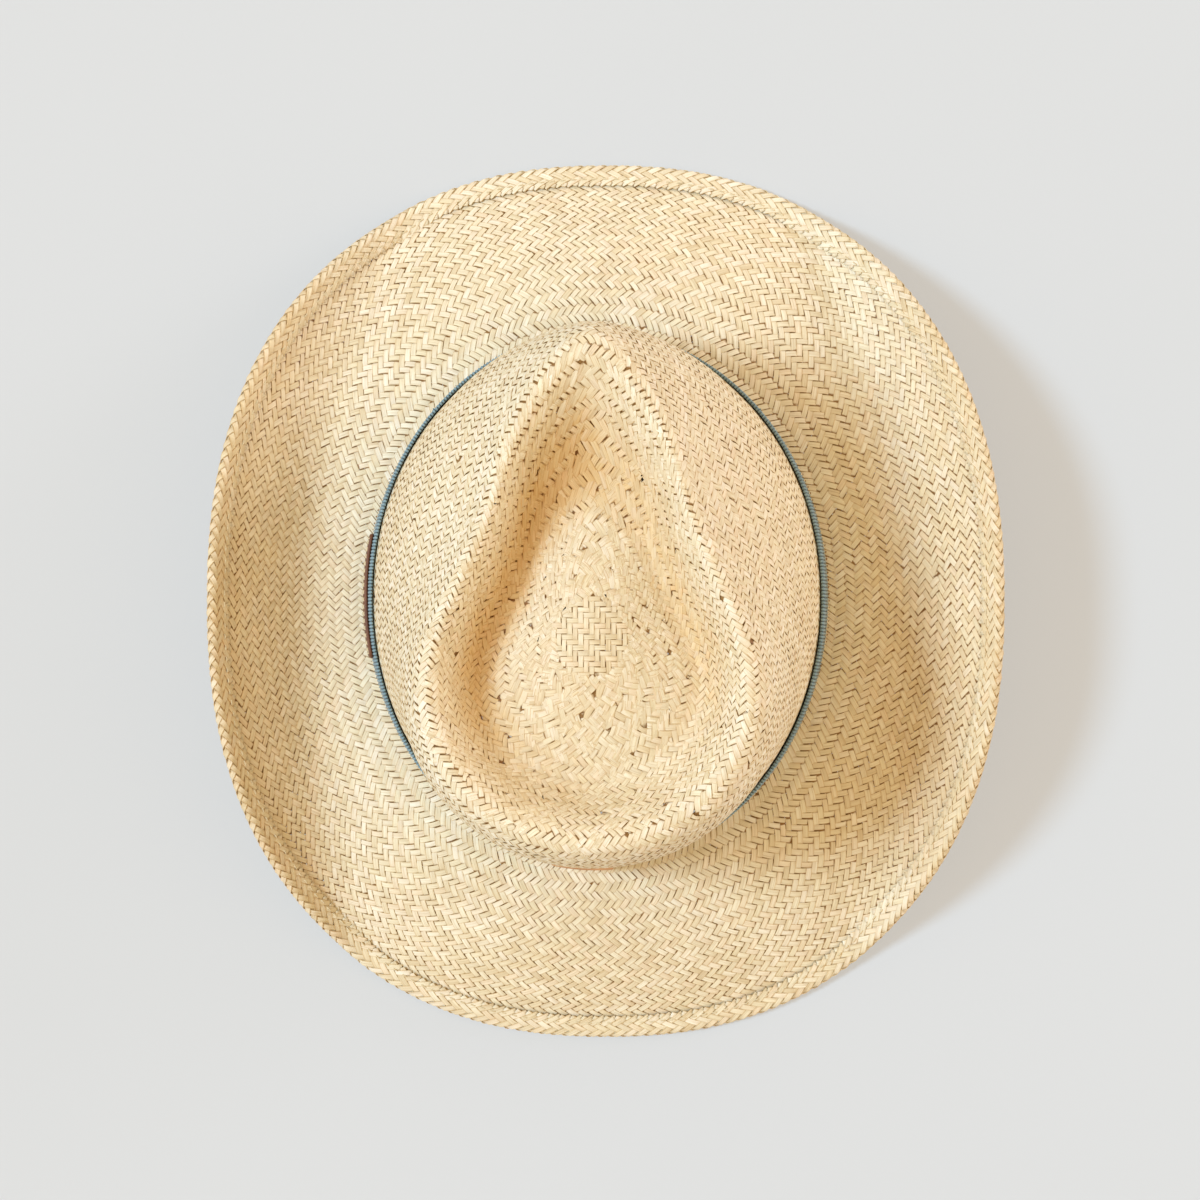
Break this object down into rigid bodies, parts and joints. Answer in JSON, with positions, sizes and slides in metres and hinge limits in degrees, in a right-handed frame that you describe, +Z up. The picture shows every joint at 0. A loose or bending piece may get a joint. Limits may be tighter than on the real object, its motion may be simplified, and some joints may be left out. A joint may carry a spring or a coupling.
{
  "type": "cowboy hat",
  "caption": "Woven straw cowboy hat with a pinched teardrop crown, a wired brim curled at the sides, a ribbed hat band and a sewn-in sweatband.",
  "frame": {"origin": "middle of the hat's bounding box, at the level of the lowest points of the brim, on which the hat stands", "axes": "+X towards the wearer's left, +Y towards the back of the hat, +Z up through the crown"},
  "size_m": [0.3036, 0.3428, 0.145],
  "materials": {
    "straw": "woven natural palm straw, dry and slightly glossy",
    "wire": "drawn spring steel",
    "sleeve": "plain crimped sleeve",
    "thread": "cotton sewing thread",
    "sweatband": "smooth light leather",
    "reed": "plain extruded plastic",
    "tape": "woven cotton tape",
    "joint_tape": "woven cotton tape",
    "bow": "ribbed ribbon",
    "tag": "blank woven satin",
    "ribbon": "blue-grey ribbed ribbon",
    "brown_leather": "oiled brown leather, blank",
    "tan_leather": "tan veg leather",
    "ribbon_thread": "sewing thread"
  },
  "bodies": {
    "root": {"straw_body": "straw", "brim_wire": "wire", "brim_wire_sleeve": "sleeve", "hem_stitching": "thread", "sweatband": "sweatband", "sweatband_reed": "reed", "reed_tape": "tape", "sweatband_stitching": "thread", "sweatband_joint": "joint_tape", "sweatband_bow": "bow", "size_tag": "tag", "hat_band": "ribbon", "band_tacks": "ribbon_thread", "side_patch": "brown_leather", "side_patch_stitching": "thread", "rear_keeper": "tan_leather", "rear_keeper_stitching": "thread"}
  },
  "joints": []
}
